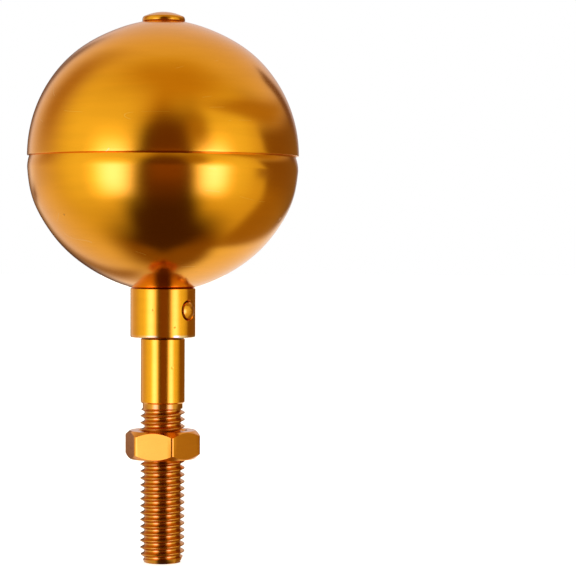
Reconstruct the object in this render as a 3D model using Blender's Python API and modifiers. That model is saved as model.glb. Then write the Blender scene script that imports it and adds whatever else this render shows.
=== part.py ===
"""Flagpole finial: a gold-anodised ball of two spun half shells on a threaded stem.

Metres, +Z up. The origin is on the stem's axis, in the plane of the nut's underside, which is
the plane that meets the top of the pole fitting once the finial is screwed in.
"""

import math

import bmesh
import bpy
from mathutils import Matrix

# Ball
BALL_DIAMETER = 0.0762
SHELL_WALL = 0.0010
SEAT_DIAMETER = 0.0166
SEAM_STEP = 0.0008
SEAM_TAPER = 0.0039
SEAM_LAP = 0.0040

# Rivet in the crown
RIVET_HEAD_DIAMETER = 0.0120
RIVET_RIM_HEIGHT = 0.0013
RIVET_DOME_HEIGHT = 0.0011
RIVET_SHANK_DIAMETER = 0.0048
RIVET_TAIL_LIP = 0.0016
RIVET_TAIL_THICKNESS = 0.0012

# Stem
COLLAR_DIAMETER = 0.0183
COLLAR_LENGTH = 0.0135
COLLAR_CHAMFER = 0.00035
COLLAR_EDGE_BREAK = 0.0002
SPIGOT_DIAMETER = 0.0080
SPIGOT_LIP = 0.0020
SPIGOT_LIP_THICKNESS = 0.0012
ROD_DIAMETER = 0.0124
ROD_LENGTH = 0.01855
ROD_CHAMFER = 0.0003
RUNOUT_DIAMETER = 0.01125
RUNOUT_LENGTH = 0.00145
CROSS_HOLE_DIAMETER = 0.0055
CROSS_HOLE_DEPTH = 0.0039
CROSS_HOLE_HEIGHT = 0.0077
CROSS_HOLE_BEARING = math.radians(-37.6)

# Thread, half an inch across with thirteen turns to the inch, right-hand
THREAD_DIAMETER = 0.0125
THREAD_PITCH = 0.0254 / 13
THREAD_DEPTH = 0.00113
THREAD_FLANK = math.radians(30.0)
THREAD_ABOVE_NUT = 0.00626
THREAD_BELOW_NUT = 0.0293
THREAD_END_TAPER = 0.0011
THREAD_END_TAPER_LENGTH = 0.0028
CREST_HEIGHT_AT_LEFT = -0.01537

# Nut
NUT_ACROSS_FLATS = 0.01905
NUT_HEIGHT = 0.00794
NUT_FACE_INSET = 0.0003
NUT_CHAMFER = math.radians(41.0)
NUT_TURN = math.radians(14.7)
NUT_COUNTERSINK = 0.0004

# Clearance between pieces that touch or slip together
JOINT_GAP = 0.0003

# Fineness of the round forms
BALL_STEPS = 40
STEM_STEPS = 28
HOLE_STEPS = 20
THREAD_STEPS = 18
MERIDIAN_STEPS = 9
TAPER_STEPS = 2
DOME_STEPS = 3
SHARP_ANGLE = math.radians(35.0)
MERGE_DISTANCE = 0.00001

GOLD = (0.90, 0.38, 0.03)
COPPERY_GOLD = (0.80, 0.28, 0.03)

# Heights worked out from the sizes above
BALL_RADIUS = BALL_DIAMETER / 2
NUT_TOP = NUT_HEIGHT
THREAD_TOP = NUT_TOP + THREAD_ABOVE_NUT
THREAD_END = -THREAD_BELOW_NUT
ROD_BOTTOM = THREAD_TOP + RUNOUT_LENGTH
COLLAR_BOTTOM = ROD_BOTTOM + ROD_LENGTH
COLLAR_TOP = COLLAR_BOTTOM + COLLAR_LENGTH
SEAT_HEIGHT = COLLAR_TOP + JOINT_GAP
SEAT_RADIUS = SEAT_DIAMETER / 2
BALL_CENTRE = SEAT_HEIGHT + math.sqrt(BALL_RADIUS**2 - SEAT_RADIUS**2)
CROWN_RADIUS = RIVET_HEAD_DIAMETER / 2
CROWN_HEIGHT = BALL_CENTRE + math.sqrt(BALL_RADIUS**2 - CROWN_RADIUS**2)


def clear_scene():
    """Remove every object, so that the model starts from an empty scene."""
    for item in list(bpy.data.objects):
        bpy.data.objects.remove(item, do_unlink=True)


def new_collection(name):
    """Return a new collection linked to the scene."""
    collection = bpy.data.collections.new(name)
    bpy.context.scene.collection.children.link(collection)
    return collection


def anodised(name, colour, roughness):
    """Return a metal material with the dyed colour of anodised aluminium."""
    material = bpy.data.materials.new(name)
    material.use_nodes = True
    shader = material.node_tree.nodes["Principled BSDF"]
    shader.inputs["Base Color"].default_value = (*colour, 1.0)
    shader.inputs["Metallic"].default_value = 1.0
    shader.inputs["Roughness"].default_value = roughness
    return material


def add_object(name, mesh, collection):
    """Return a new object for a mesh, linked to a collection."""
    item = bpy.data.objects.new(name, mesh)
    collection.objects.link(item)
    return item


def mark_as_cutter(item):
    """Keep a construction shape out of the finished model."""
    item.hide_render = True
    item.display_type = "WIRE"
    return item


def turned(name, outline, steps, collection):
    """Return an object turned about Z from an outline of (radius, height), top to bottom."""
    mesh = bpy.data.meshes.new(name)
    points = [(radius, 0.0, height) for radius, height in outline]
    lines = [(start, start + 1) for start in range(len(points) - 1)]
    mesh.from_pydata(points, lines, [])
    item = add_object(name, mesh, collection)
    screw = item.modifiers.new("Turn", "SCREW")
    screw.axis = "Z"
    screw.angle = math.tau
    screw.steps = steps
    screw.render_steps = steps
    screw.use_merge_vertices = True
    screw.merge_threshold = MERGE_DISTANCE
    return item


def combine(item, other, operation, name):
    """Add a Boolean modifier that cuts, joins or trims an object by another."""
    boolean = item.modifiers.new(name, "BOOLEAN")
    boolean.operation = operation
    boolean.solver = "EXACT"
    boolean.object = other


def finish_shape(item, material):
    """Fix the evaluated shape in the mesh, and shade it smooth between its true edges."""
    depsgraph = bpy.context.evaluated_depsgraph_get()
    mesh = bpy.data.meshes.new_from_object(item.evaluated_get(depsgraph))
    item.modifiers.clear()
    item.data = mesh
    mesh.name = item.name
    mesh.shade_smooth()
    mesh.set_sharp_from_angle(angle=SHARP_ANGLE)
    mesh.materials.clear()
    mesh.materials.append(material)


def sphere_height(radius):
    """Return how far above the ball's centre its surface lies at a distance from the axis."""
    return math.sqrt(BALL_RADIUS**2 - radius**2)


def sphere_arc(start_height, end_height, steps):
    """Return points of the ball's outline between two heights above or below its centre."""
    start = math.asin(start_height / BALL_RADIUS)
    end = math.asin(end_height / BALL_RADIUS)
    points = []
    for step in range(steps + 1):
        angle = start + (end - start) * step / steps
        points.append((BALL_RADIUS * math.cos(angle), BALL_CENTRE + BALL_RADIUS * math.sin(angle)))
    return points


def add_wall(item):
    """Give an open shell its sheet thickness, inwards from the surface that shows."""
    wall = item.modifiers.new("Wall", "SOLIDIFY")
    wall.thickness = SHELL_WALL
    wall.offset = -1.0
    wall.use_even_offset = True
    wall.use_quality_normals = True


def build_upper_hemisphere(collection, material):
    """Spun upper bowl: flat crown with the rivet's hole, then the round down to the rim."""
    hole = (RIVET_SHANK_DIAMETER / 2 + JOINT_GAP, CROWN_HEIGHT)
    outline = [hole] + sphere_arc(sphere_height(CROWN_RADIUS), 0.0, MERIDIAN_STEPS)
    item = turned("upper_hemisphere", outline, BALL_STEPS, collection)
    add_wall(item)
    finish_shape(item, material)


def build_lower_hemisphere(collection, material):
    """Spun lower bowl: neck inside the upper rim, taper out to the ball, and the flat seat."""
    neck_radius = BALL_RADIUS - SHELL_WALL - JOINT_GAP
    neck_top = math.sqrt(neck_radius**2 - SEAM_LAP**2)
    outline = [(neck_top, BALL_CENTRE + SEAM_LAP), (neck_radius, BALL_CENTRE - JOINT_GAP)]
    for step in range(TAPER_STEPS):
        share = step / TAPER_STEPS
        drop = JOINT_GAP + (SEAM_TAPER - JOINT_GAP) * share
        radius = math.sqrt(BALL_RADIUS**2 - drop**2) - SEAM_STEP * (1.0 - share) ** 2
        outline.append((radius, BALL_CENTRE - drop))
    outline += sphere_arc(-SEAM_TAPER, -sphere_height(SEAT_RADIUS), MERIDIAN_STEPS - 1)
    outline.append((SPIGOT_DIAMETER / 2 + JOINT_GAP, SEAT_HEIGHT))
    item = turned("lower_hemisphere", outline, BALL_STEPS, collection)
    add_wall(item)
    finish_shape(item, material)


def build_top_rivet(collection, material):
    """Rivet with a low domed head, a shank through the crown and an upset tail."""
    head_radius = RIVET_HEAD_DIAMETER / 2
    shank_radius = RIVET_SHANK_DIAMETER / 2
    tail_radius = shank_radius + RIVET_TAIL_LIP
    head_bottom = CROWN_HEIGHT + JOINT_GAP
    rim_top = head_bottom + RIVET_RIM_HEIGHT
    tail_top = CROWN_HEIGHT - SHELL_WALL - JOINT_GAP
    tail_bottom = tail_top - RIVET_TAIL_THICKNESS
    dome_radius = (head_radius**2 + RIVET_DOME_HEIGHT**2) / (2 * RIVET_DOME_HEIGHT)
    dome_centre = rim_top + RIVET_DOME_HEIGHT - dome_radius
    dome_angle = math.asin(head_radius / dome_radius)
    outline = []
    for step in range(DOME_STEPS + 1):
        angle = dome_angle * step / DOME_STEPS
        outline.append((dome_radius * math.sin(angle), dome_centre + dome_radius * math.cos(angle)))
    outline += [
        (head_radius, head_bottom),
        (shank_radius, head_bottom),
        (shank_radius, tail_top),
        (tail_radius, tail_top),
        (tail_radius, tail_bottom),
        (0.0, tail_bottom),
    ]
    item = turned("top_rivet", outline, STEM_STEPS, collection)
    finish_shape(item, material)


def thread_outline(clearance, top, bottom):
    """Return the thread's outline in the XZ plane, from above top to below bottom."""
    crest_radius = THREAD_DIAMETER / 2 + clearance
    root_radius = crest_radius - THREAD_DEPTH
    flank = THREAD_DEPTH * math.tan(THREAD_FLANK)
    crest = THREAD_PITCH / 8
    crest_at_right = CREST_HEIGHT_AT_LEFT + THREAD_PITCH / 2
    spare_turns = 2
    turns_up = math.ceil((top - crest_at_right) / THREAD_PITCH) + spare_turns
    turns_down = math.ceil((crest_at_right - bottom) / THREAD_PITCH) + spare_turns
    points = []
    for turn in range(turns_up, -turns_down - 1, -1):
        middle = crest_at_right + turn * THREAD_PITCH
        points += [
            (root_radius, middle + crest / 2 + flank),
            (crest_radius, middle + crest / 2),
            (crest_radius, middle - crest / 2),
            (root_radius, middle - crest / 2 - flank),
        ]
    points.append((root_radius, points[-4][1] - THREAD_PITCH))
    return points


def close_end(shape, rim, height):
    """Close a threaded bar's open end by drawing its rim together at a point on the axis."""
    drawn = bmesh.ops.extrude_edge_only(shape, edges=rim)
    corners = [part for part in drawn["geom"] if isinstance(part, bmesh.types.BMVert)]
    bmesh.ops.pointmerge(shape, verts=corners, merge_co=(0.0, 0.0, height))


def threaded_bar(name, clearance, top, bottom, collection):
    """Return a threaded bar that runs past top and bottom, larger than the thread by a clearance.

    The whole outline makes one turn while it drops by one pitch, so that each tooth runs into the
    next one below it.
    """
    outline = thread_outline(clearance, top, bottom)
    shape = bmesh.new()
    corners = [shape.verts.new((radius, 0.0, height)) for radius, height in outline]
    lines = [shape.edges.new(pair) for pair in zip(corners, corners[1:])]
    bmesh.ops.spin(
        shape,
        geom=corners + lines,
        cent=(0.0, 0.0, 0.0),
        axis=(0.0, 0.0, 1.0),
        dvec=(0.0, 0.0, THREAD_PITCH / THREAD_STEPS),
        angle=math.tau,
        steps=THREAD_STEPS,
        use_merge=False,
    )
    bmesh.ops.remove_doubles(shape, verts=shape.verts[:], dist=MERGE_DISTANCE)
    middle = (outline[0][1] + outline[-1][1]) / 2
    rims = [edge for edge in shape.edges if edge.is_boundary]
    upper_rim = [edge for edge in rims if edge.verts[0].co.z > middle]
    lower_rim = [edge for edge in rims if edge.verts[0].co.z <= middle]
    close_end(shape, upper_rim, outline[0][1] + THREAD_PITCH / 2)
    close_end(shape, lower_rim, outline[-1][1] + THREAD_PITCH / 2)
    bmesh.ops.recalc_face_normals(shape, faces=shape.faces[:])
    mesh = bpy.data.meshes.new(name)
    shape.to_mesh(mesh)
    shape.free()
    return add_object(name, mesh, collection)


def build_stem(collection, cutters, material):
    """Turned stem: spigot, collar, rod and run-out neck, joined to its thread and cross-drilled."""
    spigot_radius = SPIGOT_DIAMETER / 2
    lip_radius = spigot_radius + SPIGOT_LIP
    lip_bottom = SEAT_HEIGHT + SHELL_WALL + JOINT_GAP
    lip_top = lip_bottom + SPIGOT_LIP_THICKNESS
    collar_radius = COLLAR_DIAMETER / 2
    rod_radius = ROD_DIAMETER / 2
    runout_radius = RUNOUT_DIAMETER / 2
    thread_radius = THREAD_DIAMETER / 2
    core_radius = (thread_radius - THREAD_DEPTH) / 2
    core_bottom = THREAD_TOP - 2 * THREAD_PITCH
    item = turned(
        "stem",
        [
            (0.0, lip_top),
            (lip_radius, lip_top),
            (lip_radius, lip_bottom),
            (spigot_radius, lip_bottom),
            (spigot_radius, COLLAR_TOP),
            (collar_radius - COLLAR_EDGE_BREAK, COLLAR_TOP),
            (collar_radius, COLLAR_TOP - COLLAR_EDGE_BREAK),
            (collar_radius, COLLAR_BOTTOM + COLLAR_CHAMFER),
            (collar_radius - COLLAR_CHAMFER, COLLAR_BOTTOM),
            (rod_radius, COLLAR_BOTTOM),
            (rod_radius, ROD_BOTTOM + ROD_CHAMFER),
            (rod_radius - ROD_CHAMFER, ROD_BOTTOM),
            (runout_radius, ROD_BOTTOM),
            (runout_radius, THREAD_TOP),
            (core_radius, THREAD_TOP),
            (core_radius, core_bottom),
            (0.0, core_bottom),
        ],
        STEM_STEPS,
        collection,
    )

    clear_radius = thread_radius + JOINT_GAP
    start_chamfer = thread_radius - runout_radius
    taper_reach = THREAD_END_TAPER_LENGTH * (1.0 + JOINT_GAP / THREAD_END_TAPER)
    envelope = turned(
        "thread_envelope",
        [
            (0.0, THREAD_TOP),
            (runout_radius, THREAD_TOP),
            (clear_radius, THREAD_TOP - start_chamfer - JOINT_GAP),
            (clear_radius, THREAD_END + taper_reach),
            (thread_radius - THREAD_END_TAPER, THREAD_END),
            (0.0, THREAD_END),
        ],
        STEM_STEPS,
        cutters,
    )
    mark_as_cutter(envelope)
    thread = mark_as_cutter(threaded_bar("thread_blank", 0.0, THREAD_TOP, THREAD_END, cutters))
    combine(thread, envelope, "INTERSECT", "Thread ends")
    combine(item, thread, "UNION", "Thread")

    hole_height = COLLAR_BOTTOM + CROSS_HOLE_HEIGHT
    hole_bottom = collar_radius - CROSS_HOLE_DEPTH
    hole_length = collar_radius + JOINT_GAP - hole_bottom
    placing = (
        Matrix.Rotation(CROSS_HOLE_BEARING, 4, "Z")
        @ Matrix.Translation((hole_bottom + hole_length / 2, 0.0, hole_height))
        @ Matrix.Rotation(math.pi / 2, 4, "Y")
    )
    drill_shape = bmesh.new()
    bmesh.ops.create_cone(
        drill_shape,
        cap_ends=True,
        segments=HOLE_STEPS,
        radius1=CROSS_HOLE_DIAMETER / 2,
        radius2=CROSS_HOLE_DIAMETER / 2,
        depth=hole_length,
        matrix=placing,
    )
    drill_mesh = bpy.data.meshes.new("cross_hole")
    drill_shape.to_mesh(drill_mesh)
    drill_shape.free()
    drill = mark_as_cutter(add_object("cross_hole", drill_mesh, cutters))
    combine(item, drill, "DIFFERENCE", "Cross hole")
    finish_shape(item, material)


def build_hex_nut(collection, cutters, material):
    """Jam nut: hexagon with both faces chamfered, a countersunk bore and an internal thread."""
    flat_radius = NUT_ACROSS_FLATS / 2
    corner_radius = flat_radius / math.cos(math.pi / 6)
    face_radius = flat_radius - NUT_FACE_INSET
    shape = bmesh.new()
    bmesh.ops.create_cone(
        shape,
        cap_ends=True,
        segments=6,
        radius1=corner_radius,
        radius2=corner_radius,
        depth=NUT_HEIGHT,
        matrix=Matrix.Rotation(NUT_TURN, 4, "Z") @ Matrix.Translation((0.0, 0.0, NUT_HEIGHT / 2)),
    )
    mesh = bpy.data.meshes.new("hex_nut")
    shape.to_mesh(mesh)
    shape.free()
    item = add_object("hex_nut", mesh, collection)

    clear_radius = corner_radius + JOINT_GAP
    drop = (clear_radius - face_radius) * math.tan(NUT_CHAMFER)
    envelope = turned(
        "nut_envelope",
        [
            (0.0, NUT_TOP),
            (face_radius, NUT_TOP),
            (clear_radius, NUT_TOP - drop),
            (clear_radius, drop),
            (face_radius, 0.0),
            (0.0, 0.0),
        ],
        STEM_STEPS,
        cutters,
    )
    mark_as_cutter(envelope)
    combine(item, envelope, "INTERSECT", "Chamfers")

    bore_radius = THREAD_DIAMETER / 2 + JOINT_GAP
    sink_radius = bore_radius + NUT_COUNTERSINK
    sink_depth = THREAD_DEPTH + NUT_COUNTERSINK
    sinks = (("upper_sink", NUT_TOP, 1.0), ("lower_sink", 0.0, -1.0))
    for name, face, outward in sinks:
        mouth = face + outward * JOINT_GAP
        tip = face - outward * sink_depth
        outline = [
            (0.0, mouth),
            (sink_radius + JOINT_GAP, mouth),
            (sink_radius - sink_depth, tip),
            (0.0, tip),
        ]
        if outward < 0.0:
            outline.reverse()
        sink = mark_as_cutter(turned(name, outline, STEM_STEPS, cutters))
        combine(item, sink, "DIFFERENCE", name)

    tap = mark_as_cutter(threaded_bar("nut_tap", JOINT_GAP, NUT_TOP, 0.0, cutters))
    combine(item, tap, "DIFFERENCE", "Thread")
    finish_shape(item, material)


def build_finial():
    """Build every piece of the finial in its place."""
    clear_scene()
    parts = new_collection("flagpole_finial")
    cutters = new_collection("cutters")
    build_upper_hemisphere(parts, anodised("upper_ball_gold", GOLD, 0.28))
    build_lower_hemisphere(parts, anodised("lower_ball_gold", GOLD, 0.28))
    build_top_rivet(parts, anodised("rivet_gold", GOLD, 0.32))
    build_stem(parts, cutters, anodised("stem_gold", GOLD, 0.3))
    build_hex_nut(parts, cutters, anodised("nut_gold", COPPERY_GOLD, 0.34))


build_finial()
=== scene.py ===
"""Looks of the flagpole finial: a gold-anodised ball of two spun shells on a turned, threaded stem.

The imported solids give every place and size. Each of them is replaced by a finer mesh with the same
outline, and dressed in a dyed anodic finish whose marks follow the way the piece was made: rings
from spinning and turning, straight lines from milling, and the small scratches of handling.
"""

import logging
from dataclasses import dataclass, field
from enum import Enum
from math import acos, asin, atan2, ceil, cos, degrees, exp, hypot, pi, radians, sin, sqrt, tan, tau

import bmesh
import bpy
from mathutils import Matrix, Vector, noise


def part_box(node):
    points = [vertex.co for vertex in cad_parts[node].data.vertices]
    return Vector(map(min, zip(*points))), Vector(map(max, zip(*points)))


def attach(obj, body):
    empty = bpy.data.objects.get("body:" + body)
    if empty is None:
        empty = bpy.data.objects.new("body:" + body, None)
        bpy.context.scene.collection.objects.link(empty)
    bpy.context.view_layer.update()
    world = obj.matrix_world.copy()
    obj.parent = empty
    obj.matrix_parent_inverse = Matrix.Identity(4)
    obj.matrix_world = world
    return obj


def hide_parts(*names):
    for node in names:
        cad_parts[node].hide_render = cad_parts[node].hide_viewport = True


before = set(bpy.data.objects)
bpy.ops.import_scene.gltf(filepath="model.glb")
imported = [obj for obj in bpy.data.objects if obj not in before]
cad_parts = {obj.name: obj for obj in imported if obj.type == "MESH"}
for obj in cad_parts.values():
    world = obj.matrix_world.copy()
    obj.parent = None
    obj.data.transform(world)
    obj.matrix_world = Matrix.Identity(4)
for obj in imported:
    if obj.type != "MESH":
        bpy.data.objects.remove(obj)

LOG = logging.getLogger("flagpole_finial")

MM = 0.001
BODY = "root"
FINE_RINGS = (0.3, 0.7)
BROAD_RINGS = (0.35, 0.65)
BARE_METAL = (0.88, 0.86, 0.82)
# Painted shade: the dark line in the undercut groove under the collar.
PAINTED_GROOVE_SHADE = (0.07, 0.025, 0.004)

Colour = tuple[float, float, float]
Outline = list[tuple[float, float]]
Change = tuple[float, float, float]
Item = bpy.types.Object
Pieces = list[tuple[Item, str]]
Shape = bmesh.types.BMesh
Material = bpy.types.Material
Tree = bpy.types.NodeTree
Socket = bpy.types.NodeSocket
Sockets = bpy.types.bpy_prop_collection


def arc(centre: tuple[float, float], radius: float, start: float, end: float, steps: int) -> Outline:
    """Return points along an arc in the (distance from axis, height) plane.

    Args:
        centre: The arc's centre.
        radius: Its radius.
        start: The first point's angle above outwards, in degrees.
        end: The last point's angle.
        steps: Number of equal steps.

    Returns:
        The points, both ends included.
    """
    points = []
    for step in range(steps + 1):
        angle = radians(start + (end - start) * step / steps)
        points.append((centre[0] + radius * cos(angle), centre[1] + radius * sin(angle)))
    return points


def soft_corner(before: tuple[float, float], corner: tuple[float, float],
                after: tuple[float, float], steps: int) -> Outline:
    """Return points that round a corner from one point to another.

    Args:
        before: Where the rounding leaves the first side.
        corner: Where the two sides would meet.
        after: Where the rounding joins the second side.
        steps: Number of steps.

    Returns:
        The points, both ends included.
    """
    points = []
    for step in range(steps + 1):
        share = step / steps
        weights = ((1 - share) ** 2, 2 * share * (1 - share), share**2)
        points.append(tuple(
            weights[0] * before[axis] + weights[1] * corner[axis] + weights[2] * after[axis]
            for axis in range(2)
        ))
    return points


def add_piece(name: str, shape: Shape) -> Item:
    """Turn a finished shape into an object at the origin.

    Args:
        name: The object's name.
        shape: The shape, which is freed.

    Returns:
        The new object.
    """
    mesh = bpy.data.meshes.new(name)
    shape.to_mesh(mesh)
    shape.free()
    item = bpy.data.objects.new(name, mesh)
    bpy.context.scene.collection.objects.link(item)
    return item


def spin_outline(outline: Outline, steps: int, closed: bool = False, rise: float = 0.0) -> Shape:
    """Turn an outline once round the Z axis.

    Args:
        outline: Points from the outside's top downwards.
        steps: Number of steps in the turn.
        closed: Whether the outline is a ring, as a wall's section is.
        rise: How far the turn climbs, as a thread's does.

    Returns:
        The turned shape, facing outwards.
    """
    shape = bmesh.new()
    corners = [shape.verts.new((radius, 0.0, height)) for radius, height in outline]
    lines = [shape.edges.new(pair) for pair in zip(corners, corners[1:])]
    if closed:
        lines.append(shape.edges.new((corners[-1], corners[0])))
    bmesh.ops.spin(shape, geom=corners + lines, cent=(0.0, 0.0, 0.0), axis=(0.0, 0.0, 1.0),
                   dvec=(0.0, 0.0, rise / steps), angle=tau, steps=steps, use_merge=not rise)
    bmesh.ops.remove_doubles(shape, verts=shape.verts[:], dist=0.001 * MM)
    bmesh.ops.recalc_face_normals(shape, faces=shape.faces[:])
    return shape


def turn_piece(name: str, outline: Outline, steps: int) -> Item:
    """Return a solid piece turned from an outline that starts and ends on the axis."""
    return add_piece(name, spin_outline(outline, steps))


def cut_with(item: Item, other: Item, operation: str = "DIFFERENCE") -> None:
    """Combine an object with another, and remove the other.

    Args:
        item: The object to change.
        other: The object that cuts or joins it.
        operation: DIFFERENCE, INTERSECT or UNION.
    """
    boolean = item.modifiers.new("Cut", "BOOLEAN")
    boolean.operation = operation
    boolean.solver = "EXACT"
    boolean.object = other
    depsgraph = bpy.context.evaluated_depsgraph_get()
    mesh = bpy.data.meshes.new_from_object(item.evaluated_get(depsgraph))
    item.modifiers.clear()
    item.data = mesh
    mesh.name = item.name
    bpy.data.objects.remove(other, do_unlink=True)


def shade(item: Item, material: Material, sharp_above: float = 28.0) -> None:
    """Give a piece its material, smooth between edges sharper than an angle in degrees.

    Args:
        item: The piece.
        material: Its only material.
        sharp_above: The angle above which an edge stays sharp.
    """
    item.data.shade_smooth()
    item.data.set_sharp_from_angle(angle=radians(sharp_above))
    item.data.materials.clear()
    item.data.materials.append(material)


class NodeSheet:
    """A node tree being written, with short calls for the nodes that this object's finishes use."""

    def __init__(self, tree: Tree) -> None:
        """Start from an empty tree."""
        self.tree = tree
        tree.nodes.clear()

    def add(self, kind: str, **settings: object) -> bpy.types.Node:
        """Add a node.

        Args:
            kind: The shader node's type.
            **settings: Properties to set on it.

        Returns:
            The node.
        """
        node = self.tree.nodes.new(f"ShaderNode{kind}")
        for name, value in settings.items():
            setattr(node, name, value)
        return node

    def feed(self, node: bpy.types.Node, **sockets: object) -> bpy.types.Node:
        """Set or link a node's inputs by name, with an underscore for each space.

        Args:
            node: The node.
            **sockets: A socket to link from, or a plain value.

        Returns:
            The same node.
        """
        for name, value in sockets.items():
            self.join(value, node.inputs[name.replace("_", " ")])
        return node

    def join(self, value: object, target: Socket) -> None:
        """Link a socket to a target, or set the target's own value."""
        if isinstance(value, Socket):
            self.tree.links.new(value, target)
        else:
            target.default_value = value

    def sum(self, operation: str, *values: object, clamp: bool = False) -> Socket:
        """Work out a Math node.

        Args:
            operation: The node's operation.
            *values: Its inputs, sockets or numbers.
            clamp: Whether the result is kept between 0 and 1.

        Returns:
            The result's socket.
        """
        node = self.add("Math", operation=operation, use_clamp=clamp)
        for place, value in enumerate(values):
            self.join(value, node.inputs[place])
        return node.outputs[0]

    def ramp(self, value: object, low: float, high: float, to_low: float = 0.0,
             to_high: float = 1.0) -> Socket:
        """Map a value from one range to another, kept inside it and eased at both ends.

        Args:
            value: The socket to map.
            low: Where the range starts.
            high: Where it ends.
            to_low: The result at low.
            to_high: The result at high.

        Returns:
            The result's socket.
        """
        node = self.add("MapRange", interpolation_type="SMOOTHSTEP")
        for place, number in enumerate((value, low, high, to_low, to_high)):
            self.join(number, node.inputs[place])
        return node.outputs[0]

    def blend(self, share: object, first: object, second: object) -> Socket:
        """Mix two colours.

        Args:
            share: How much of the second, from 0 to 1.
            first: A colour or its socket.
            second: A colour or its socket.

        Returns:
            The mixed colour's socket.
        """
        node = self.add("Mix", data_type="RGBA")
        self.join(share, node.inputs[0])
        for place, value in ((6, first), (7, second)):
            if isinstance(value, tuple):
                value = (*value, 1.0)
            self.join(value, node.inputs[place])
        return node.outputs[2]

    def use(self, group: Tree, **values: object) -> Sockets:
        """Add a node group, feed its inputs and return its outputs."""
        return self.feed(self.add("Group", node_tree=group), **values).outputs

    def split(self, vector: Socket) -> Sockets:
        """Return the sockets of a vector's three parts."""
        return self.feed(self.add("SeparateXYZ"), Vector=vector).outputs

    def combine(self, **parts: object) -> Socket:
        """Return the socket of a vector made of parts named X, Y and Z."""
        return self.feed(self.add("CombineXYZ"), **parts).outputs[0]

    def vector(self, operation: str, *values: object) -> Socket:
        """Work out a Vector Math node.

        Args:
            operation: The node's operation.
            *values: Its inputs; the second is the factor when it scales.

        Returns:
            The result's socket.
        """
        node = self.add("VectorMath", operation=operation)
        places = (0, "Scale") if operation == "SCALE" else (0, 1)
        for place, value in zip(places, values):
            self.join(value, node.inputs[place])
        return node.outputs["Value" if operation == "DISTANCE" else "Vector"]

    def length(self, first: object, second: object) -> Socket:
        """Return the length of a step with two parts at right angles."""
        squares = (self.sum("MULTIPLY", part, part) for part in (first, second))
        return self.sum("SQRT", self.sum("ADD", *squares))

    def grain(self, place: object, scale: object, detail: float, **more: object) -> Socket:
        """Return the grey value of a noise texture."""
        node = self.add("TexNoise")
        return self.feed(node, Vector=place, Scale=scale, Detail=detail, **more).outputs[0]


def new_group(name: str, vectors: list[str], numbers: list[str], results: list[str]) -> tuple[
        Tree, NodeSheet, Sockets, Sockets]:
    """Start a shader node group.

    Args:
        name: The group's name.
        vectors: Names of the vectors that it is given.
        numbers: Names of the numbers that it is given.
        results: Names of the numbers that it works out.

    Returns:
        The group, its sheet, the sockets that it is given and those of its results.
    """
    group = bpy.data.node_groups.new(name, "ShaderNodeTree")
    for way, kind, names in (("INPUT", "Vector", vectors), ("INPUT", "Float", numbers),
                             ("OUTPUT", "Float", results)):
        for socket in names:
            group.interface.new_socket(socket, in_out=way, socket_type=f"NodeSocket{kind}")
    sheet = NodeSheet(group)
    given, result = (group.nodes.new(f"NodeGroup{way}") for way in ("Input", "Output"))
    return group, sheet, given.outputs, result.inputs


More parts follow.
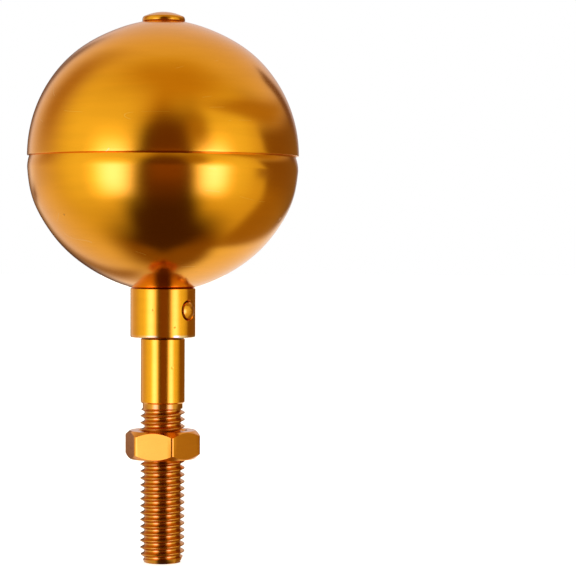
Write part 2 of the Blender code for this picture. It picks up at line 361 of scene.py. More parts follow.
class WorkshopMarks:
    """The shared marks of making and handling, and a patchy band used both for bare metal and for painted
    shade, each a node group that several finishes use.
    """

    def __init__(self) -> None:
        """Build the groups once."""
        self.rings = self.build_rings()
        self.handling = self.build_handling()
        self.wear_and_shade_band = self.build_wear_and_shade_band()
        self.dent = self.build_dent()

    def build_rings(self) -> Tree:
        """Build the fine rings that spinning and turning leave round the axis.

        Returns:
            The group. Place is the way along the surface in millimetres.
        """
        group, sheet, given, result = new_group(
            "Rings round the axis", ["Position"], ["Place", "Fineness", "Break up"], ["Fine", "Broad"])
        x, y, _ = sheet.split(given["Position"])
        bearing = sheet.vector("NORMALIZE", sheet.combine(X=x, Y=y))
        around = sheet.vector("SCALE", bearing, given["Break up"])
        for output, share, detail in (("Fine", 1.0, 3.0), ("Broad", 0.13, 2.0)):
            fineness = sheet.sum("MULTIPLY", given["Fineness"], share)
            lift = sheet.combine(Z=sheet.sum("MULTIPLY", given["Place"], fineness))
            grain = sheet.grain(sheet.vector("ADD", around, lift), 1.0, detail, Roughness=0.6)
            sheet.join(grain, result[output])
        return group

    def build_handling(self) -> Tree:
        """Build fine scratches and small pits.

        Returns:
            The group, whose masks are 1 on a mark. Size is in marks to the metre.
        """
        group, sheet, given, result = new_group(
            "Handling marks", ["Position"], ["Size", "Scarcity"], ["Scratches", "Pits"])
        line_width = 0.0035
        patches_to_size, pits_to_size = 1.7, 2.2
        pit_core, pit_rim, pit_scarcity = 0.03, 0.07, 0.86
        stretch = sheet.add("Mapping")
        sheet.feed(stretch, Vector=given["Position"], Rotation=(0.12, 0.08, 0.3), Scale=(0.35, 0.35, 1.0))
        lines = sheet.grain(stretch.outputs[0], given["Size"], 1.0, Distortion=0.4)
        ridge = sheet.sum("ABSOLUTE", sheet.sum("SUBTRACT", lines, 0.5))
        line = sheet.ramp(ridge, 0.0, line_width, 1.0, 0.0)
        patches = sheet.grain(given["Position"], sheet.sum("MULTIPLY", given["Size"], patches_to_size), 1.0)
        seldom = sheet.sum("GREATER_THAN", patches, given["Scarcity"])
        sheet.join(sheet.sum("MULTIPLY", line, seldom), result["Scratches"])
        cells = sheet.add("TexVoronoi")
        sheet.feed(cells, Vector=given["Position"],
                   Scale=sheet.sum("MULTIPLY", given["Size"], pits_to_size))
        spot = sheet.ramp(cells.outputs["Distance"], pit_core, pit_rim, 1.0, 0.0)
        pick = sheet.feed(sheet.add("SeparateColor"), Color=cells.outputs["Color"])
        few = sheet.sum("GREATER_THAN", pick.outputs[0], pit_scarcity)
        sheet.join(sheet.sum("MULTIPLY", spot, few), result["Pits"])
        return group

    def build_wear_and_shade_band(self) -> Tree:
        """Build a patchy band at one height, used for bare metal on a rubbed edge and for painted shade in
        a groove.

        Returns:
            The group, whose mask is 1 on the patches near a height in metres.
        """
        group, sheet, given, result = new_group(
            "Worn band", ["Position"], ["Height", "Reach", "Amount"], ["Worn"])
        patches_to_metre, contrast = 160.0, 4.0
        height = sheet.split(given["Position"])["Z"]
        off = sheet.sum("ABSOLUTE", sheet.sum("SUBTRACT", height, given["Height"]))
        near = sheet.sum("SUBTRACT", 1.0, sheet.sum("DIVIDE", off, given["Reach"]), clamp=True)
        patches = sheet.grain(given["Position"], patches_to_metre, 2.0)
        patch_share = sheet.sum("SUBTRACT", patches, sheet.sum("SUBTRACT", 1.0, given["Amount"]), clamp=True)
        mask = sheet.sum("MULTIPLY", sheet.sum("MULTIPLY", near, patch_share), contrast, clamp=True)
        sheet.join(mask, result["Worn"])
        return group

    def build_dent(self) -> Tree:
        """Build one small round dent.

        Returns:
            The group, whose depth is 1 in the dent's middle.
        """
        group, sheet, given, result = new_group(
            "Small dent", ["Position", "Place"], ["Reach"], ["Depth"])
        away = sheet.vector("DISTANCE", given["Position"], given["Place"])
        share = sheet.sum("DIVIDE", away, given["Reach"])
        sheet.join(sheet.ramp(share, 0.0, 1.0, 1.0, 0.0), result["Depth"])
        return group


class Making(Enum):
    """How a surface was made, which sets the direction of its fine marks."""

    SPUN = "spun over a round form"
    TURNED = "turned on a lathe"
    MILLED = "drawn and milled flat"


@dataclass
class AnodicFinish:
    """A dyed anodic finish on aluminium.

    The dye is the main colour, which the marks change only a little: each tint says which mark, how
    strongly and its colour. Depths are in units of the mark depth. A band gives its height, reach,
    amount and colour, and a dent its place and reach. Below one height the surface may be cut, with
    a colour of its own.
    """

    marks: WorkshopMarks
    name: str
    making: Making
    dye: Colour = (0.90, 0.385, 0.022)
    dye_change: float = 0.02
    roughness: float = 0.2
    roughness_change: float = 0.05
    anisotropy: float = 0.0
    fineness: float = 3.0
    ring_break_up: float = 1.3
    mark_depth: float = 0.0006 * MM
    scratch_size: float = 70.0
    scarcity: float = 0.66
    scratch_roughness: float = 0.12
    tints: tuple[tuple[str, float, Colour], ...] = (
        ("Scratches", 0.3, (0.95, 0.62, 0.25)), ("Pits", 0.6, (0.25, 0.12, 0.03)))
    depths: tuple[tuple[str, float], ...] = (("Scratches", 1.2), ("Pits", 6.0))
    bands: tuple[tuple[float, float, float, Colour], ...] = ()
    round_centre: float = 0.0
    cut_below: float = -1.0
    cut_fade: float = 0.4 * MM
    cut_dye: Colour = (0.68, 0.29, 0.045)
    dents: tuple[tuple[float, float, float, float], ...] = ()
    dent_depth: float = 0.05 * MM

    def __post_init__(self) -> None:
        """Start the material, with the masks of its marks."""
        self.material = bpy.data.materials.new(self.name)
        self.material.use_nodes = True
        self.sheet = NodeSheet(self.material.node_tree)
        self.position = self.sheet.add("TexCoord").outputs["Object"]
        rings = self.sheet.use(self.marks.rings, Position=self.position, Place=self.way_along(),
                               Fineness=self.fineness, Break_up=self.ring_break_up)
        handling = self.sheet.use(self.marks.handling, Position=self.position,
                                  Size=self.scratch_size, Scarcity=self.scarcity)
        self.masks = dict(rings.items() + handling.items())

    def build(self) -> Material:
        """Join colour, roughness and relief.

        Returns:
            The finished material.
        """
        sheet = self.sheet
        smoothest, roughest = (self.roughness * (1.0 + change)
                               for change in (-self.roughness_change, self.roughness_change))
        rough = sheet.ramp(self.masks["Fine"], *FINE_RINGS, smoothest, roughest)
        scored = sheet.sum("MULTIPLY", self.masks["Scratches"], self.scratch_roughness)
        bump = sheet.add("Bump")
        sheet.feed(bump, Strength=1.0, Distance=1.0, Height=self.relief())
        metal = sheet.add("BsdfPrincipled")
        sheet.feed(metal, Base_Color=self.colour(), Metallic=1.0, Normal=bump.outputs[0],
                   Roughness=sheet.sum("ADD", rough, scored), Anisotropic=self.anisotropy)
        sheet.join(metal.outputs[0], sheet.add("OutputMaterial").inputs["Surface"])
        return self.material

    def colour(self) -> Socket:
        """Work out the colour with its marks.

        Returns:
            The colour's socket.
        """
        sheet = self.sheet
        deep, pale = (tuple(min(1.0, share * part) for part in self.dye)
                      for share in (1.0 - self.dye_change, 1.0 + self.dye_change))
        colour = sheet.blend(sheet.ramp(self.masks["Broad"], *BROAD_RINGS), deep, pale)
        cut = sheet.ramp(sheet.split(self.position)["Z"], self.cut_below - self.cut_fade,
                         self.cut_below + self.cut_fade, 1.0, 0.0)
        colour = sheet.blend(cut, colour, self.cut_dye)
        for mark, share, tint in self.tints:
            colour = sheet.blend(sheet.sum("MULTIPLY", self.masks[mark], share), colour, tint)
        # A band paints bare metal on a rubbed edge, or painted shade in a groove.
        for height, reach, amount, tint in self.bands:
            band = sheet.use(self.marks.wear_and_shade_band, Position=self.position, Height=height,
                             Reach=reach, Amount=amount)
            colour = sheet.blend(band["Worn"], colour, tint)
        return colour

    def relief(self) -> Socket:
        """Work out the height of the marks.

        Returns:
            The socket of the height in metres.
        """
        sheet = self.sheet
        height = self.masks["Fine"]
        for mark, depth in self.depths:
            height = sheet.sum("SUBTRACT", height, sheet.sum("MULTIPLY", self.masks[mark], depth))
        height = sheet.sum("MULTIPLY", height, self.mark_depth)
        for *place, reach in self.dents:
            dent = sheet.use(self.marks.dent, Position=self.position, Place=tuple(place), Reach=reach)
            sunk = sheet.sum("MULTIPLY", dent["Depth"], self.dent_depth)
            height = sheet.sum("SUBTRACT", height, sunk)
        return height

    def way_along(self) -> Socket:
        """Work out how far along the surface a point lies, across the rings.

        Returns:
            The socket of the distance in millimetres.
        """
        sheet = self.sheet
        x, y, z = sheet.split(self.position)
        if self.making is Making.MILLED:
            return sheet.sum("DIVIDE", z, MM)
        out = sheet.length(x, y)
        if self.making is Making.TURNED:
            return sheet.sum("DIVIDE", sheet.sum("SUBTRACT", z, out), MM)
        rise = sheet.sum("SUBTRACT", z, self.round_centre)
        reach = sheet.sum("DIVIDE", sheet.length(rise, out), MM)
        return sheet.sum("MULTIPLY", sheet.sum("ARCTAN2", rise, out), reach)


@dataclass
class SpunBall:
    """The ball: two spun bowls, the lower one necked so that it slips into the upper one's rim."""

    finish: Material
    wall: float = 1.0 * MM
    crown_radius: float = 6.0 * MM
    crown_hole: float = 2.7 * MM
    seat_radius: float = 8.7 * MM
    seat_hole: float = 4.3 * MM
    seam_step: float = 0.8 * MM
    seam_taper: float = 3.9 * MM
    seam_lap: float = 4.0 * MM
    slip_gap: float = 0.3 * MM
    seam_line: float = 0.09 * MM
    lip_height: float = 1.2 * MM
    rim_round: float = 0.1 * MM
    rim_angle: float = 0.35
    lip_angle: float = 2.4
    bend: float = 0.9 * MM
    neck_rise: float = 1.5 * MM
    shoulder_rise: float = 0.7 * MM
    taper_power: float = 1.7
    burr: float = 0.055 * MM
    upper_changes: tuple[Change, ...] = ((-0.36 * MM, 66.0, 14.0),)
    lower_changes: tuple[Change, ...] = ((0.36 * MM, -19.0, 10.0), (-0.38 * MM, -60.0, 17.0))
    droop: float = 0.6
    shift: float = 0.03 * MM
    steps: int = 224
    arc_steps: int = 80
    taper_steps: int = 16
    bend_steps: int = 5
    rim_steps: int = 4

    def __post_init__(self) -> None:
        """Read the ball's place and size from the solids."""
        low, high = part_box("upper_hemisphere")
        self.radius = (high.x - low.x) / 2
        self.centre = low.z
        self.crown = high.z
        self.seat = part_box("lower_hemisphere")[0].z

    def angle_at(self, distance: float, radius: float) -> float:
        """Return the latitude, in degrees, where a sphere of a radius is this far from the axis."""
        return degrees(acos(distance / radius))

    def work(self, points: Outline, changes: tuple[Change, ...]) -> Outline:
        """Move an outline in or out near some angles, as a bowl spun by hand is not quite round.

        Args:
            points: The outline, part of a sphere about the ball's centre.
            changes: How far each moves it outwards, its angle from the equator and its reach.

        Returns:
            The moved points.
        """
        for amount, angle, spread in changes:
            moved = []
            for radius, height in points:
                rise = height - self.centre
                off = (degrees(atan2(rise, radius)) - angle) / spread
                scale = 1.0 + amount * exp(-off**2) / hypot(radius, rise)
                moved.append((radius * scale, self.centre + rise * scale))
            points = moved
        return points

    def upper_outline(self) -> Outline:
        """Return the upper bowl's section, down its outside and back up its inside."""
        centre = (0.0, self.centre)
        inner = self.radius - self.wall
        lip = self.radius - self.seam_step + self.seam_line
        corner = (self.crown_radius, self.crown)
        start = self.angle_at(self.crown_radius + self.bend, self.radius)
        rim = self.rim_round
        outside = arc(centre, self.radius, start, self.rim_angle, self.arc_steps)
        outside = self.work(outside, self.upper_changes)
        points = [(self.crown_hole, self.crown)]
        points += soft_corner((self.crown_radius - self.bend, self.crown), corner, outside[0],
                              self.bend_steps)
        points += outside[1:]
        points += arc((self.radius - rim, self.centre + rim), rim, 0.0, -90.0, self.rim_steps)
        points += [(lip + rim, self.centre), (lip, self.centre + rim), (lip, self.centre + self.lip_height)]
        top = self.angle_at(self.crown_radius, inner)
        points += arc(centre, inner, self.lip_angle, top, self.arc_steps // 4)
        points.append((self.crown_hole, self.crown - self.wall))
        return points

    def lower_outline(self) -> Outline:
        """Return the lower bowl's section, down its outside and back up its inside."""
        centre = (0.0, self.centre)
        neck = self.radius - self.wall - self.slip_gap
        shoulder = self.radius - self.seam_step
        neck_top = sqrt(neck**2 - self.seam_lap**2)
        points = [(neck_top, self.centre + self.seam_lap), (neck, self.centre + self.neck_rise),
                  (shoulder, self.centre + self.shoulder_rise)]
        outside = []
        for step in range(self.taper_steps):
            drop = self.seam_taper * step / self.taper_steps
            share = 1.0 - drop / self.seam_taper
            round_radius = sqrt(self.radius**2 - drop**2)
            outside.append((round_radius - self.seam_step * share**self.taper_power, self.centre - drop))
        start = -degrees(asin(self.seam_taper / self.radius))
        end = -self.angle_at(self.seat_radius + self.bend, self.radius)
        outside += arc(centre, self.radius, start, end, self.arc_steps)
        outside = self.work(outside, self.lower_changes)
        points += outside
        points += soft_corner(outside[-1], (self.seat_radius, self.seat),
                              (self.seat_radius - self.bend / 2, self.seat), self.bend_steps)[1:]
        points += [(self.seat_hole, self.seat), (self.seat_hole, self.seat + self.wall)]
        inner = self.radius - self.wall
        bottom = -self.angle_at(self.seat_radius, inner)
        points += arc(centre, inner, bottom, start, self.arc_steps // 4)
        inner_neck = neck - self.wall
        points += [(shoulder - self.wall, self.centre - self.wall), (inner_neck, self.centre)]
        points.append((sqrt(inner_neck**2 - self.seam_lap**2), self.centre + self.seam_lap))
        return points

    def roughen_rim(self, shape: Shape) -> None:
        """Leave small burrs on the upper bowl's sheared rim.

        Args:
            shape: The upper bowl.
        """
        reach = 2.5 * self.rim_round
        coarse, fine, fine_share = 34.0, 90.0, 0.6
        for corner in shape.verts:
            height = corner.co.z - self.centre
            out = hypot(corner.co.x, corner.co.y)
            if height > reach or out < self.radius - reach:
                continue
            bearing = Vector((corner.co.x, corner.co.y, 0.0)).normalized()
            ragged = noise.noise(bearing * coarse) + fine_share * noise.noise(bearing * fine)
            share = 1.0 - height / reach
            corner.co.z += self.burr * ragged * share
            corner.co -= bearing * self.burr * 0.5 * (1.0 + ragged) * share

    def build(self) -> Pieces:
        """Build both bowls.

        Returns:
            Each piece with its solid's name.
        """
        upper = spin_outline(self.upper_outline(), self.steps, closed=True)
        self.roughen_rim(upper)
        lower = spin_outline(self.lower_outline(), self.steps, closed=True)
        bmesh.ops.rotate(lower, verts=lower.verts[:], cent=(0.0, 0.0, self.centre),
                         matrix=Matrix.Rotation(radians(self.droop), 3, "Y"))
        bmesh.ops.translate(lower, verts=lower.verts[:], vec=(-self.shift, 0.0, 0.0))
        pieces = [(add_piece("upper_shell", upper), "upper_hemisphere"),
                  (add_piece("lower_shell", lower), "lower_hemisphere")]
        for piece, _ in pieces:
            shade(piece, self.finish)
        return pieces


@dataclass
class CrownRivet:
    """The rivet in the crown: a low domed head on a rounded rim, a shank and an upset tail."""

    finish: Material
    dome_height: float = 1.1 * MM
    rim_round: float = 0.95 * MM
    rim_foot: float = 0.12 * MM
    rim_gap: float = 0.03 * MM
    shank_radius: float = 2.4 * MM
    tail_lip: float = 1.6 * MM
    tail_thickness: float = 1.2 * MM
    brow: float = 0.2 * MM
    steps: int = 128
    dome_steps: int = 18
    rim_steps: int = 9

    def build(self) -> Pieces:
        """Build the rivet.

        Returns:
            The piece with its solid's name.
        """
        low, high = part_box("top_rivet")
        head = (high.x - low.x) / 2
        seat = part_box("upper_hemisphere")[1].z + self.rim_gap
        shoulder = high.z - self.dome_height
        tail = self.shank_radius + self.tail_lip
        tail_top = low.z + self.tail_thickness
        dome_edge = head - self.rim_round
        dome_radius = (dome_edge**2 + self.dome_height**2) / (2 * self.dome_height)
        dome_angle = degrees(asin(dome_edge / dome_radius))
        centre = (0.0, high.z - dome_radius)
        points = arc(centre, dome_radius, 90.0, 90.0 - dome_angle, self.dome_steps)
        points[0] = (0.0, high.z)
        points += soft_corner((dome_edge + self.brow, shoulder - 0.4 * self.brow),
                              (head, shoulder - self.brow), (head, seat + 2 * self.rim_foot),
                              self.rim_steps)
        points += [(head, seat + self.rim_foot), (head - self.rim_foot, seat)]
        points += [(self.shank_radius, seat), (self.shank_radius, tail_top), (tail, tail_top),
                   (tail, low.z), (0.0, low.z)]
        piece = turn_piece("crown_rivet", points, self.steps)
        shade(piece, self.finish)
        return [(piece, "top_rivet")]


@dataclass
class BoltThread:
    """The right-hand thread, half an inch across with thirteen turns to the inch."""

    radius: float = 6.25 * MM
    pitch: float = 25.4 * MM / 13
    depth: float = 1.13 * MM
    flank_angle: float = 30.0
    crest_at_left: float = -15.37 * MM
    crests_in_pitch: float = 11.0
    ease: float = 0.035 * MM
    hollow: float = 0.12
    steps: int = 90
    root_steps: int = 6

    def tooth(self, middle: float, clearance: float) -> Outline:
        """Return one turn's outline, from the groove above a crest down to the crest's lower edge.

        Args:
            middle: The crest's height.
            clearance: How much larger than the stem's thread it is.

        Returns:
            The points from top to bottom.
        """
        crest = self.pitch / self.crests_in_pitch
        flank = self.depth * tan(radians(self.flank_angle))
        outer = self.radius + clearance
        root = outer - self.depth
        upper_crest = middle + crest / 2
        lower_crest = middle - crest / 2
        side = self.hollow * self.depth
        rise = side * tan(radians(self.flank_angle))
        groove_top = middle + self.pitch - crest / 2 - flank + rise
        groove_bottom = upper_crest + flank - rise
        points = []
        for step in range(self.root_steps + 1):
            share = step / self.root_steps
            height = groove_top + (groove_bottom - groove_top) * share
            points.append((root + side * (2 * share - 1) ** 4, height))
        return points + [
            (outer - self.ease, upper_crest + self.ease), (outer, upper_crest - self.ease),
            (outer, lower_crest + self.ease), (outer - self.ease, lower_crest - self.ease),
        ]

    def bar(self, name: str, top: float, bottom: float, clearance: float) -> Item:
        """Build a threaded bar that runs past both heights.

        The outline rises by a pitch in one turn, so that each tooth runs into the next one.

        Args:
            name: The object's name.
            top: The height that it has to reach.
            bottom: The depth that it has to reach.
            clearance: How much larger than the stem's thread it is.

        Returns:
            The bar, a closed shape.
        """
        crest_at_right = self.crest_at_left + self.pitch / 2
        turns_up = ceil((top - crest_at_right) / self.pitch) + 2
        turns_down = ceil((crest_at_right - bottom) / self.pitch) + 2
        outline: Outline = []
        for turn in range(turns_up, -turns_down - 1, -1):
            outline += self.tooth(crest_at_right + turn * self.pitch, clearance)
        tooth_length = len(self.tooth(0.0, clearance))
        last = outline[-tooth_length]
        outline.append((last[0], last[1] - self.pitch))
        shape = spin_outline(outline, self.steps, rise=self.pitch)
        middle = (outline[0][1] + outline[-1][1]) / 2
        rims = [edge for edge in shape.edges if edge.is_boundary]
        for rim, height in (
            ([edge for edge in rims if edge.verts[0].co.z > middle], outline[0][1]),
            ([edge for edge in rims if edge.verts[0].co.z <= middle], outline[-1][1]),
        ):
            drawn = bmesh.ops.extrude_edge_only(shape, edges=rim)
            tips = [part for part in drawn["geom"] if isinstance(part, bmesh.types.BMVert)]
            bmesh.ops.pointmerge(shape, verts=tips, merge_co=(0.0, 0.0, height + self.pitch / 2))
        bmesh.ops.recalc_face_normals(shape, faces=shape.faces[:])
        return add_piece(name, shape)


@dataclass
class ThreadedStem:
    """The turned stem: collar with its cross hole, rod, run-out neck and thread."""

    finish: Material
    pin_finish: Material
    thread: BoltThread
    collar_radius: float = 9.15 * MM
    collar_length: float = 13.5 * MM
    rod_radius: float = 6.2 * MM
    rod_length: float = 18.55 * MM
    runout_radius: float = 5.625 * MM
    runout_length: float = 1.45 * MM
    spigot_radius: float = 4.0 * MM
    lip: float = 2.0 * MM
    lip_thickness: float = 1.2 * MM
    end_taper: float = 1.1 * MM
    end_taper_length: float = 2.8 * MM
    hole_radius: float = 2.6 * MM
    hole_sink: float = 0.4 * MM
    ledge_depth: float = 0.25 * MM
    hole_depth: float = 3.9 * MM
    hole_height: float = 7.7 * MM
    hole_bearing: float = -37.6
    pin_radius: float = 2.4 * MM
    pin_edge: float = 9.1 * MM
    pin_rise: float = 1.5 * MM
    seat_line: float = 0.03 * MM
    overlap: float = 0.12 * MM
    hole_steps: int = 72
    pin_steps: int = 64
    gap: float = 0.3 * MM
    steps: int = 192

    def __post_init__(self) -> None:
        """Work out the stem's heights from the solids."""
        low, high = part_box("stem")
        self.end = low.z
        self.lip_top = high.z
        ball_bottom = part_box("lower_hemisphere")[0].z
        self.collar_top = ball_bottom - self.seat_line
        self.collar_bottom = ball_bottom - self.gap - self.collar_length
        self.rod_bottom = self.collar_bottom - self.rod_length
        self.thread_top = self.rod_bottom - self.runout_length

    def turned_outline(self) -> Outline:
        """Return the stem's outline from the upset lip inside the ball down to its core."""
        lip_bottom = self.lip_top - self.lip_thickness
        lip_radius = self.spigot_radius + self.lip
        collar, rod, neck = self.collar_radius, self.rod_radius, self.runout_radius
        edge, foot, fillet = 0.2 * MM, 0.35 * MM, 0.18 * MM
        core = 0.4 * self.thread.radius
        core_end = self.thread_top - 3 * MM
        points = [(0.0, self.lip_top), (lip_radius, self.lip_top), (lip_radius, lip_bottom),
                  (self.spigot_radius, lip_bottom), (self.spigot_radius, self.collar_top)]
        points += arc((collar - edge, self.collar_top - edge), edge, 90.0, 0.0, 4)
        rows = 26
        start, stop = self.collar_top - 2 * edge, self.collar_bottom + foot * 1.2
        points += [(collar, start + (stop - start) * row / rows) for row in range(rows + 1)]
        points += arc((collar - foot, self.collar_bottom + foot), foot, 0.0, -90.0, 6)
        relief = 0.32 * MM
        points += [(rod - relief / 4, self.collar_bottom), (rod - relief, self.collar_bottom - relief),
                   (rod, self.collar_bottom - 1.8 * relief)]
        chamfer = 0.3 * MM
        points += [(rod, self.rod_bottom + chamfer), (rod - chamfer, self.rod_bottom)]
        points += arc((neck + fillet, self.rod_bottom - fillet), fillet, 90.0, 180.0, 4)
        points += [(neck, self.thread_top - self.overlap), (core, self.thread_top - self.overlap),
                   (core, core_end), (0.0, core_end)]
        return points

    def thread_limits(self) -> Item:
        """Build the outline that trims the thread: a run-out above and a chamfer at the end."""
        clear = self.thread.radius + self.gap
        start = self.thread.radius - self.runout_radius
        rise = 3 * self.overlap
        return turn_piece("thread_limits", [
            (0.0, self.thread_top + rise),
            (self.runout_radius - rise, self.thread_top + rise),
            (clear, self.thread_top - start - self.gap),
            (clear, self.end + self.end_taper_length * (1.0 + self.gap / self.end_taper)),
            (self.thread.radius - self.end_taper, self.end),
            (0.0, self.end),
        ], self.steps // 2)

    def drill(self) -> Item:
        """Build the drill that makes the collar's cross hole, with its pointed end."""
        tip_angle = 59.0
        bottom = self.collar_radius - self.hole_depth
        tip = bottom - self.hole_radius / tan(radians(tip_angle))
        mouth = self.hole_radius + self.hole_sink
        ledge = self.collar_radius - self.ledge_depth
        outline = [(0.0, self.collar_radius + MM), (mouth, self.collar_radius + MM), (mouth, ledge),
                   (self.hole_radius, ledge - self.hole_sink), (self.hole_radius, bottom), (0.0, tip)]
        return self.lay_across("drill", outline, self.hole_steps)

    def lay_across(self, name: str, outline: Outline, steps: int) -> Item:
        """Turn an outline round the cross hole's axis.

        Args:
            name: The object's name.
            outline: Points as distances from the hole's and the stem's axes.
            steps: Number of steps in the turn.

        Returns:
            The object, in place.
        """
        shape = spin_outline(outline, steps)
        placing = (Matrix.Translation((0.0, 0.0, self.collar_bottom + self.hole_height))
                   @ Matrix.Rotation(radians(self.hole_bearing), 4, "Z")
                   @ Matrix.Rotation(pi / 2, 4, "Y"))
        bmesh.ops.transform(shape, matrix=placing, verts=shape.verts[:])
        return add_piece(name, shape)

    def cross_pin(self) -> Item:
        """Build the pin that fills the collar's cross hole, with its low pointed end."""
        edge = 0.1 * MM
        outline = [(0.0, self.pin_edge + self.pin_rise), (self.pin_radius - edge, self.pin_edge + edge / 2),
                   (self.pin_radius, self.pin_edge - edge),
                   (self.pin_radius, self.collar_radius - self.hole_depth),
                   (0.0, self.collar_radius - self.hole_depth)]
        pin = self.lay_across("cross_pin", outline, self.pin_steps)
        shade(pin, self.pin_finish, sharp_above=20.0)
        return pin

    def build(self) -> Pieces:
        """Build the stem.

        Returns:
            The piece with its solid's name.
        """
        stem = turn_piece("threaded_stem", self.turned_outline(), self.steps)
        thread = self.thread.bar("stem_thread", self.thread_top + MM, self.end, 0.0)
        cut_with(thread, self.thread_limits(), "INTERSECT")
        cut_with(stem, thread, "UNION")
        cut_with(stem, self.drill())
        shade(stem, self.finish, sharp_above=32.0)
        return [(stem, "stem"), (self.cross_pin(), "")]


@dataclass
class JamNut:
    """The hexagon jam nut, chamfered on both faces and tapped to run on the stem."""

    finish: Material
    thread: BoltThread
    across_flats: float = 19.05 * MM
    face_inset: float = 0.3 * MM
    chamfer: float = 41.0
    turn: float = 14.7
    corner_break: float = 0.5 * MM
    countersink: float = 0.4 * MM
    spare: float = 1.0 * MM
    lead: float = 0.1 * MM
    sides: int = 6
    corner_steps: int = 6
    gap: float = 0.3 * MM
    steps: int = 192

    def build(self) -> Pieces:
        """Build the nut.

        Returns:
            The piece with its solid's name.
        """
        low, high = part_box("hex_nut")
        height = high.z - low.z
        corner = self.across_flats / 2 / cos(pi / 6)
        shape = bmesh.new()
        placing = (Matrix.Translation((0.0, 0.0, low.z + height / 2))
                   @ Matrix.Rotation(radians(self.turn), 4, "Z"))
        bmesh.ops.create_cone(shape, cap_ends=True, segments=self.sides, radius1=corner, radius2=corner,
                              depth=height + 2 * self.spare, matrix=placing)
        upright = [edge for edge in shape.edges
                   if abs(edge.verts[0].co.z - edge.verts[1].co.z) > height / 2]
        bmesh.ops.bevel(shape, geom=upright, offset=self.corner_break, affect="EDGES",
                        segments=self.corner_steps, profile=0.5, material=-1)
        nut = add_piece("jam_nut", shape)

        face = self.across_flats / 2 - self.face_inset
        clear = corner + self.gap
        drop = (clear - face) * tan(radians(self.chamfer))
        limits = [(0.0, high.z), (face, high.z), (clear, high.z - drop),
                  (clear, low.z + drop), (face, low.z), (0.0, low.z)]
        cut_with(nut, turn_piece("nut_limits", limits, self.steps), "INTERSECT")

        bore = self.thread.radius + self.gap
        mouth = bore + self.countersink
        depth = self.thread.depth + self.countersink + self.lead
        for level, outward in ((high.z, 1.0), (low.z, -1.0)):
            outline = [(0.0, level + outward * self.gap), (mouth + self.gap, level + outward * self.gap),
                       (mouth - depth, level - outward * depth), (0.0, level - outward * depth)]
            cut_with(nut, turn_piece("countersink", outline, self.steps))
        cut_with(nut, self.thread.bar("nut_tap", high.z, low.z, self.gap))
        shade(nut, self.finish, sharp_above=20.0)
        return [(nut, "hex_nut")]


@dataclass(frozen=True)
class SoftPanel:
    """A panel of light round the object, placed by direction, in degrees.

    Azimuth 0 is towards the camera and grows to the right; elevation is above the horizon. The lean
    is how many degrees the panel shifts to the right for each degree upwards.
    """

    azimuth: float
    half_width: float
    side_fade: float
    elevation: float
    half_height: float
    end_fade: float
    lean: float
    light: Colour


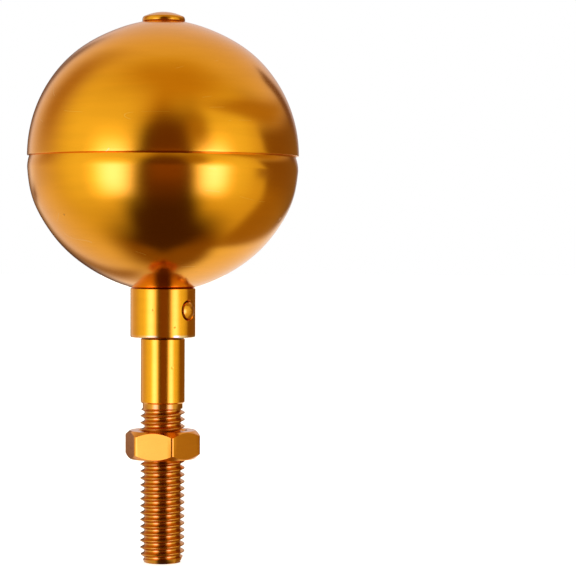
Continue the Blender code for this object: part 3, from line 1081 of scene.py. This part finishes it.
@dataclass
class Studio:
    """The plain studio: a pale floor, soft panels of light and the camera."""

    surround: Colour = (0.06, 0.026, 0.003)
    backdrop: Colour = (1.0, 1.0, 1.0)
    camera_distance: float = 0.613
    camera_height: float = 0.0640
    camera_yaw: float = 3.29
    camera_dip: float = 1.483
    camera_roll: float = 0.25
    lens: float = 135.9
    floor_size: float = 8.0
    floor_gap: float = 0.2 * MM
    floor_paint: Colour = (0.9, 0.9, 0.9)
    floor_glow: float = 0.8
    panels: list[SoftPanel] = field(default_factory=lambda: [SoftPanel(*panel) for panel in (
        (180, 100, 24, -62, 24, 6, 0, (0.24, 0.13, 0.02)),
        (0, 180, 1, 90, 54, 18, 0, (0.72, 0.62, 0.31)),
        (180, 80, 45, 74, 34, 20, 0, (0.80, 0.72, 0.68)),
        (8, 66, 42, 54, 26, 14, 0, (0.58, 0.40, 0.08)),
        (-96, 68, 14, -2, 56, 16, 0.34, (0.76, 0.68, 0.34)),
        (66, 41, 13, -4, 48, 12, -0.36, (0.76, 0.66, 0.27)),
        (-146, 40, 22, -6, 58, 12, 0, (0.86, 0.80, 0.86)),
        (154, 58, 24, 36, 30, 14, 0, (0.78, 0.70, 0.74)),
        (6, 22, 9, 1, 34, 20, 0.2, (0.13, 0.052, 0.006)),
        (-60, 32, 16, 6, 36, 28, 0, (1.0, 1.0, 0.6)),
        (57, 23, 13, 3, 30, 22, 0, (0.98, 0.98, 0.55)),
        (-46, 16, 12, -8, 19, 16, 0.1, (2.0, 2.0, 1.6)),
        (44, 13, 11, -8, 18, 15, -0.1, (2.0, 1.9, 1.6)),
        (-43, 10, 10, -10, 13, 13, 0, (2.6, 2.7, 10.0)),
        (44, 9, 9, -10, 12, 12, 0, (2.6, 2.7, 10.0)),
        (30, 9, 8, 20, 13, 11, 0, (0.42, 0.28, 0.05)),
        (4, 15, 8, -7, 9, 8, 0, (0.22, 0.085, 0.008)),
        (129, 33, 4, -2, 18, 6, -0.35, (0.24, 0.13, 0.03)),
        (127, 26, 7, -34, 22, 9, 0, (0.36, 0.22, 0.04)),
        (168, 26, 4, -30, 30, 6, 0.9, (0.98, 0.94, 0.92)),
        (95, 22, 12, 27, 12, 6, -3.0, (0.46, 0.30, 0.07)),
        (147, 6, 3, 18, 11, 3, -0.5, (0.18, 0.09, 0.04)),
        (-161, 5.5, 4, 14, 16, 8, 0, (0.24, 0.17, 0.14)),
        (-161, 5.5, 5, -26, 30, 10, 0, (0.34, 0.22, 0.10)),
        (-121, 16, 14, 30, 28, 22, 0, (0.46, 0.30, 0.13)),
        (-151, 6, 5, -6.2, 2.4, 2.2, 0, (0.19, 0.10, 0.06)),
        (94, 8, 7, -6.2, 2.6, 2.4, 0, (0.28, 0.17, 0.11)),
        (-170, 7, 3, -3, 18, 9, 0, (0.10, 0.05, 0.03)),
    )])

    def build_panel_mask(self) -> Tree:
        """Build the group that marks the directions a soft panel covers.

        Returns:
            The group, whose mask is 1 on the panel.
        """
        numbers = [part.replace("_", " ") for part in SoftPanel.__annotations__ if part != "light"]
        group, sheet, given, result = new_group("Soft panel", [], ["Bearing", "Rise", *numbers], ["Mask"])
        rise = sheet.sum("SUBTRACT", given["Rise"], given["elevation"])
        turned = sheet.sum("SUBTRACT", given["Bearing"], given["azimuth"])
        turned = sheet.sum("SUBTRACT", turned, sheet.sum("MULTIPLY", given["lean"], rise))
        aside = sheet.sum("ABSOLUTE", sheet.sum("WRAP", turned, 180.0, -180.0))
        above = sheet.sum("ABSOLUTE", rise)
        masks = []
        for off, half, fade in ((aside, "half width", "side fade"), (above, "half height", "end fade")):
            outer = sheet.sum("ADD", given[half], given[fade])
            inner = sheet.sum("SUBTRACT", given[half], given[fade])
            masks.append(sheet.ramp(off, inner, outer, 1.0, 0.0))
        sheet.join(sheet.sum("MULTIPLY", *masks), result["Mask"])
        return group

    def build_light(self) -> None:
        """Build the soft light all round, with a plain white backdrop for the camera."""
        world = bpy.data.worlds.new("studio")
        bpy.context.scene.world = world
        world.use_nodes = True
        sheet = NodeSheet(world.node_tree)
        mask_group = self.build_panel_mask()
        x, y, z = sheet.split(sheet.add("TexCoord").outputs["Generated"])
        azimuth = sheet.sum("DEGREES", sheet.sum("ARCTAN2", x, sheet.sum("MULTIPLY", y, -1.0)))
        elevation = sheet.sum("DEGREES", sheet.sum("ARCSINE", z))
        light: object = self.surround
        for panel in self.panels:
            shape = {part: value for part, value in vars(panel).items() if part != "light"}
            mask = sheet.use(mask_group, Bearing=azimuth, Rise=elevation, **shape)
            light = sheet.blend(mask[0], light, panel.light)
        choice = sheet.add("MixShader")
        sheet.join(sheet.add("LightPath").outputs["Is Camera Ray"], choice.inputs[0])
        for place, shone in ((1, light), (2, (*self.backdrop, 1.0))):
            background = sheet.feed(sheet.add("Background"), Color=shone, Strength=1.0)
            sheet.join(background.outputs[0], choice.inputs[place])
        sheet.join(choice.outputs[0], sheet.add("OutputWorld").inputs["Surface"])

    def build_floor(self) -> None:
        """Build the pale floor under the end of the stem, hidden from the metal's reflections."""
        shape = bmesh.new()
        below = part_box("stem")[0].z - self.floor_gap
        bmesh.ops.create_grid(shape, x_segments=1, y_segments=1, size=self.floor_size / 2,
                              matrix=Matrix.Translation((0.0, 0.0, below)))
        floor = add_piece("pale_floor", shape)
        material = bpy.data.materials.new("pale_floor")
        material.use_nodes = True
        sheet = NodeSheet(material.node_tree)
        paint = sheet.add("BsdfPrincipled")
        sheet.feed(paint, Base_Color=(*self.floor_paint, 1.0), Roughness=0.9,
                   Emission_Color=(*self.backdrop, 1.0), Emission_Strength=self.floor_glow)
        sheet.join(paint.outputs[0], sheet.add("OutputMaterial").inputs["Surface"])
        floor.data.materials.append(material)
        floor.visible_glossy = False

    def build_camera(self) -> None:
        """Place the camera as the photograph was taken."""
        lens = bpy.data.cameras.new("camera")
        lens.lens = self.lens
        camera = bpy.data.objects.new("camera", lens)
        camera.matrix_world = (
            Matrix.Translation((0.0, -self.camera_distance, self.camera_height))
            @ Matrix.Rotation(radians(-self.camera_yaw), 4, "Z")
            @ Matrix.Rotation(radians(90.0 - self.camera_dip), 4, "X")
            @ Matrix.Rotation(radians(self.camera_roll), 4, "Z")
        )
        bpy.context.scene.collection.objects.link(camera)
        bpy.context.scene.camera = camera

    def build(self) -> None:
        """Build the studio, with colours shown as they are."""
        bpy.context.scene.view_settings.view_transform = "Standard"
        self.build_light()
        self.build_floor()
        self.build_camera()


def hand_over(pieces: Pieces) -> None:
    """Tie finished pieces to the frame.

    Args:
        pieces: Each piece with the solid that it stands for.
    """
    for piece, node in pieces:
        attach(piece, BODY)
        if node:
            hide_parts(node)
        LOG.info("%s stands for %s with %d faces", piece.name, node or "no solid",
                 len(piece.data.polygons))


def main() -> None:
    """Build the finial's pieces, their finishes and the studio."""
    logging.basicConfig(level=logging.INFO, format="%(message)s")
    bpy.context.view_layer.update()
    marks = WorkshopMarks()
    ball = AnodicFinish(marks, "spun_gold", Making.SPUN, roughness=0.17, anisotropy=0.15,
                        fineness=2.2, scarcity=0.6, round_centre=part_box("upper_hemisphere")[0].z,
                        dents=((32.1 * MM, -10.0 * MM, 67.3 * MM, 1.1 * MM),))
    turned = AnodicFinish(marks, "turned_gold", Making.TURNED, roughness=0.18, anisotropy=0.25,
                          fineness=4.0, cut_below=0.0155,
                          bands=((34.5 * MM, 0.6 * MM, 0.5, BARE_METAL),
                                 # Painted shade: a dark patchy band in the undercut groove under the
                                 # collar, where the rod lies in the collar's shade.
                                 (33.95 * MM, 0.3 * MM, 0.8, PAINTED_GROOVE_SHADE)),
                          dents=((3.2 * MM, -8.57 * MM, 37.3 * MM, 0.4 * MM),
                                 (2.65 * MM, -5.6 * MM, 25.8 * MM, 0.45 * MM),
                                 (-2.7 * MM, -8.74 * MM, 42.1 * MM, 0.35 * MM)))
    plain = AnodicFinish(marks, "rivet_gold", Making.TURNED, dye=(0.80, 0.34, 0.03),
                         roughness=0.15).build()
    milled = AnodicFinish(marks, "milled_gold", Making.MILLED, dye=(0.86, 0.33, 0.025),
                          roughness=0.16, fineness=1.5)
    thread = BoltThread()
    hand_over(SpunBall(ball.build()).build())
    hand_over(CrownRivet(plain).build())
    hand_over(ThreadedStem(turned.build(), plain, thread).build())
    hand_over(JamNut(milled.build(), thread).build())
    Studio().build()


if __name__ == "__main__":
    main()
